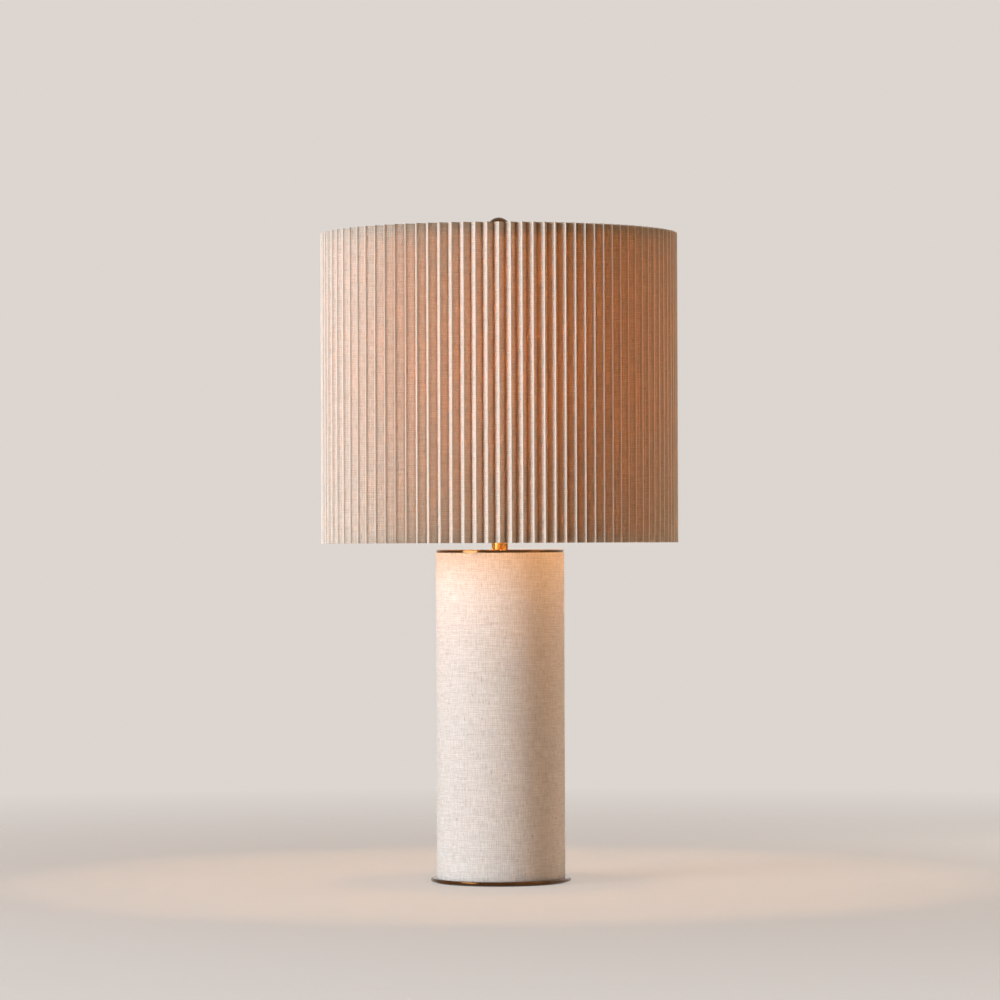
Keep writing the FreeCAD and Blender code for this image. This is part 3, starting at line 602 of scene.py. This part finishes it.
def linen_radius(angle, height):
    """The wrap's outside: slightly uneven over the board, with a folded edge down the back."""
    spot = Vector((math.sin(angle) * UNEVEN_TURNS, math.cos(angle) * UNEVEN_TURNS, height / UNEVEN_HEIGHT))
    past = ((angle - SEAM + math.pi) % math.tau - math.pi) * LINEN_OUT
    fold = clamp((past + SEAM_STEP) / SEAM_STEP) * clamp((SEAM_END - past) / SEAM_FADE)
    return LINEN_OUT + UNEVEN * noise.noise(spot) + SEAM_THICK * fold


def linen_loops(height, tuck):
    """The wrap's outer and inner lines at one height."""
    turns = [math.tau * k / WRAP_STEPS for k in range(WRAP_STEPS)]
    turns = sorted(turns + [SEAM + offset / LINEN_OUT for offset in SEAM_LINES])
    outside = [around(angle, linen_radius(angle, height) - tuck, height) for angle in turns]
    return outside, [around(angle, LINEN_IN, height) for angle in turns]


def wrap_levels():
    """The heights of the wrap's lines and how far each is tucked in, from the bottom up."""
    inset = WRAP_EDGE[-1][0]
    span = WRAP_HIGH - WRAP_LOW - 2 * inset
    levels = [(WRAP_LOW + away, tuck) for away, tuck in WRAP_EDGE]
    levels += [(WRAP_LOW + inset + span * k / WRAP_ROWS, 0.0) for k in range(1, WRAP_ROWS)]
    return levels + [(WRAP_HIGH - away, tuck) for away, tuck in reversed(WRAP_EDGE)]


wrap_loops = [linen_loops(height, tuck) for height, tuck in wrap_levels()]
linen_finish = linen("column linen", pale=(0.92, 0.885, 0.855), tan=(0.60, 0.54, 0.48))
wrap, wrap_length = shell("linen_wrap", [outer for outer, inner in wrap_loops],
                          [inner for outer, inner in wrap_loops], [linen_finish])

# The hole for the grommet, low at the back.
HOLE_RADIUS = 5.3
HOLE_STEPS = 48
HOLE_HEIGHT = sum(heights("cord_grommet")) / 2
# How far the tool that cuts the hole reaches past the wrap on both sides.
HOLE_PAST = 3.5


def hole_cutter():
    """A round rod along Y through the back of the wrap."""
    turns = [math.tau * k / HOLE_STEPS for k in range(HOLE_STEPS)]
    points = [Vector((HOLE_RADIUS * math.cos(turn), y, HOLE_HEIGHT + HOLE_RADIUS * math.sin(turn))) * MM
              for y in (LINEN_IN - HOLE_PAST, LINEN_OUT + HOLE_PAST) for turn in turns]
    ahead = [(k + 1) % HOLE_STEPS for k in range(HOLE_STEPS)]
    sides = [[k, ahead[k], HOLE_STEPS + ahead[k], HOLE_STEPS + k] for k in range(HOLE_STEPS)]
    ends = [list(range(HOLE_STEPS - 1, -1, -1)), list(range(HOLE_STEPS, 2 * HOLE_STEPS))]
    return mesh_object("cutter", points, sides + ends, [linen_finish])


def cut_away(target, cutter):
    """Takes the cutter's shape out of the target's mesh, and the cutter out of the scene."""
    cut = target.modifiers.new("hole", "BOOLEAN")
    cut.operation = "DIFFERENCE"
    cut.solver = "EXACT"
    cut.object = cutter
    bpy.context.view_layer.update()
    ready = bpy.data.meshes.new_from_object(target.evaluated_get(bpy.context.evaluated_depsgraph_get()))
    target.modifiers.clear()
    target.data = ready
    bpy.data.objects.remove(cutter)


cut_away(wrap, hole_cutter())
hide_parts("linen_sleeve")
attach(wrap, "base")


# The felt under the foot

FELT_RADIUS = reach("felt_pad")
FELT_LOW, FELT_HIGH = heights("felt_pad")
FELT_STEPS = 180
# The rim's unevenness, and how fast it changes round the rim.
RIM_UNEVEN, RIM_TURNS = 0.25, 40
# The pad's outline from the middle of its underside, over a rounded rim, to the middle of its upper side.
FELT_MIDDLE = 0.5
felt_profile = [(FELT_MIDDLE, FELT_LOW), (FELT_RADIUS - 0.6, FELT_LOW), (FELT_RADIUS - 0.15, 0.2),
                (FELT_RADIUS, 0.55), (FELT_RADIUS - 0.1, 0.85), (FELT_RADIUS - 0.5, FELT_HIGH),
                (FELT_MIDDLE, FELT_HIGH)]


def felt_edge(angle, height):
    """How far the felt's outline is off at an angle: not at all on the underside."""
    if height <= FELT_LOW:
        return 0.0
    spot = Vector((math.cos(angle) * RIM_TURNS, math.sin(angle) * RIM_TURNS, height))
    return RIM_UNEVEN * noise.noise(spot)


pad = turned("felt_disc", felt_profile, felt("dark felt"), FELT_STEPS, felt_edge, capped=True)
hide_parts("felt_pad")
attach(pad, "base")


# The floor

BACKGROUND = (0.72, 0.67, 0.63)
# The background's share of what shows of the floor.
FLOOR_PALE = 0.6
FLOOR_RINGS = [0.4, 0.8, 1.2, 1.7]
FLOOR_STEPS = 64
# The floor fades out from here to its edge.
FLOOR_FADE = 0.5
# Just under the felt, so that no two faces lie in one plane.
FLOOR_HEIGHT = -0.0003


def seen_directly(tree):
    """1 for rays that show the background: from the camera, off gloss and through glass."""
    path = tree.nodes.new("ShaderNodeLightPath")
    share = path.outputs["Is Camera Ray"]
    for name in ("Is Glossy Ray", "Is Transmission Ray"):
        either = tree.nodes.new("ShaderNodeMath")
        either.operation = "MAXIMUM"
        tree.links.new(share, either.inputs[0])
        tree.links.new(path.outputs[name], either.inputs[1])
        share = either.outputs[0]
    return share


def floor_finish():
    """A pale floor that keeps shadows, fades out far from the lamp and is clear from below."""
    surface = Surface("floor")
    place = surface.place()
    grain = surface.noise(place, scale=30.0)
    colour = surface.mix(grain, rgb(0.74, 0.70, 0.66), rgb(0.77, 0.73, 0.69))
    solid = surface.principled(Base_Color=colour, Roughness=0.75, Specular_IOR_Level=0.2)
    pale = surface.add("Emission", {"Color": rgb(*BACKGROUND), "Strength": 1.0}).outputs["Emission"]
    shown = surface.combine("MULTIPLY", seen_directly(surface.tree), FLOOR_PALE)
    away = surface.add("VectorMath", {0: place}, operation="LENGTH").outputs["Value"]
    under = surface.add("NewGeometry", {}).outputs["Backfacing"]
    faded = surface.combine("MAXIMUM", surface.fit(away, FLOOR_FADE, FLOOR_RINGS[-1]), under)
    clear = surface.add("BsdfTransparent", {}).outputs["BSDF"]
    return surface.done(surface.blend(faded, surface.blend(shown, solid, pale), clear))


def floor_mesh():
    """A round floor: rings of faces about a fan in the middle."""
    points = [Vector((0, 0, FLOOR_HEIGHT))]
    for radius in FLOOR_RINGS:
        for k in range(FLOOR_STEPS):
            points.append(around(math.tau * k / FLOOR_STEPS, radius / MM, FLOOR_HEIGHT / MM))
    faces = []
    for k in range(FLOOR_STEPS):
        here, ahead = 1 + k, 1 + (k + 1) % FLOOR_STEPS
        faces.append([0, here, ahead])
        for ring in range(len(FLOOR_RINGS) - 1):
            faces.append([here, here + FLOOR_STEPS, ahead + FLOOR_STEPS, ahead])
            here += FLOOR_STEPS
            ahead += FLOOR_STEPS
    return points, faces


floor = mesh_object("floor", *floor_mesh(), [floor_finish()])


# Light

AMBIENT_COLOUR, AMBIENT_STRENGTH = (1.0, 0.57, 0.25), 0.185


def softbox(name, spot, aim, size, watts, colour, mirrored=True):
    """A soft rectangular lamp aimed at a point, mirrored in glossy surfaces or not."""
    lamp = bpy.data.lights.new(name, "AREA")
    lamp.shape = "RECTANGLE"
    lamp.size, lamp.size_y = size
    lamp.energy = watts
    lamp.color = colour
    made = bpy.data.objects.new(name, lamp)
    made.location = spot
    made.visible_glossy = mirrored
    made.rotation_euler = (Vector(aim) - Vector(spot)).to_track_quat("-Z", "Y").to_euler()
    bpy.context.scene.collection.objects.link(made)


def studio():
    """A dim warm light from all round, and the plain background wherever the sky itself shows."""
    world = bpy.data.worlds.new("studio")
    bpy.context.scene.world = world
    world.use_nodes = True
    sky = world.node_tree
    sky.nodes.clear()
    either = sky.nodes.new("ShaderNodeMixShader")
    sky.links.new(seen_directly(sky), either.inputs["Fac"])
    for spot, colour, strength in ((1, AMBIENT_COLOUR, AMBIENT_STRENGTH), (2, BACKGROUND, 1.0)):
        light = sky.nodes.new("ShaderNodeBackground")
        light.inputs["Color"].default_value = rgb(*colour)
        light.inputs["Strength"].default_value = strength
        sky.links.new(light.outputs["Background"], either.inputs[spot])
    sky.links.new(either.outputs["Shader"], sky.nodes.new("ShaderNodeOutputWorld").inputs["Surface"])


softbox("key", spot=(-2.15, -1.51, 0.62), aim=(0, 0, 0.42), size=(1.3, 1.32), watts=76.5,
        colour=(0.82, 0.91, 1.0))
softbox("fill", spot=(2.0, -1.0, 0.7), aim=(0, 0, 0.4), size=(1.0, 1.2), watts=3.8,
        colour=(1.0, 0.88, 0.76))
softbox("rim", spot=(0.95, 0.5, 0.28), aim=(0, 0, 0.36), size=(0.4, 0.5), watts=3.2,
        colour=(1.0, 0.92, 0.84), mirrored=False)
studio()


# The camera, where the photo was taken from

CAMERA_SPOT = (0.0001, -4.4, 0.3372)
CAMERA_TILT, CAMERA_ROLL = math.radians(90.558), math.radians(0.2)
CAMERA_LENS, CAMERA_SENSOR = 158.9, 36.0
CAMERA_FAR = 50.0


def photo_camera():
    camera = bpy.data.objects.new("camera", bpy.data.cameras.new("camera"))
    camera.data.sensor_width = CAMERA_SENSOR
    camera.data.lens = CAMERA_LENS
    camera.data.clip_end = CAMERA_FAR
    camera.location = CAMERA_SPOT
    camera.rotation_euler = (CAMERA_TILT, CAMERA_ROLL, 0.0)
    bpy.context.scene.collection.objects.link(camera)
    bpy.context.scene.camera = camera


photo_camera()
bpy.context.scene.view_settings.view_transform = "Standard"
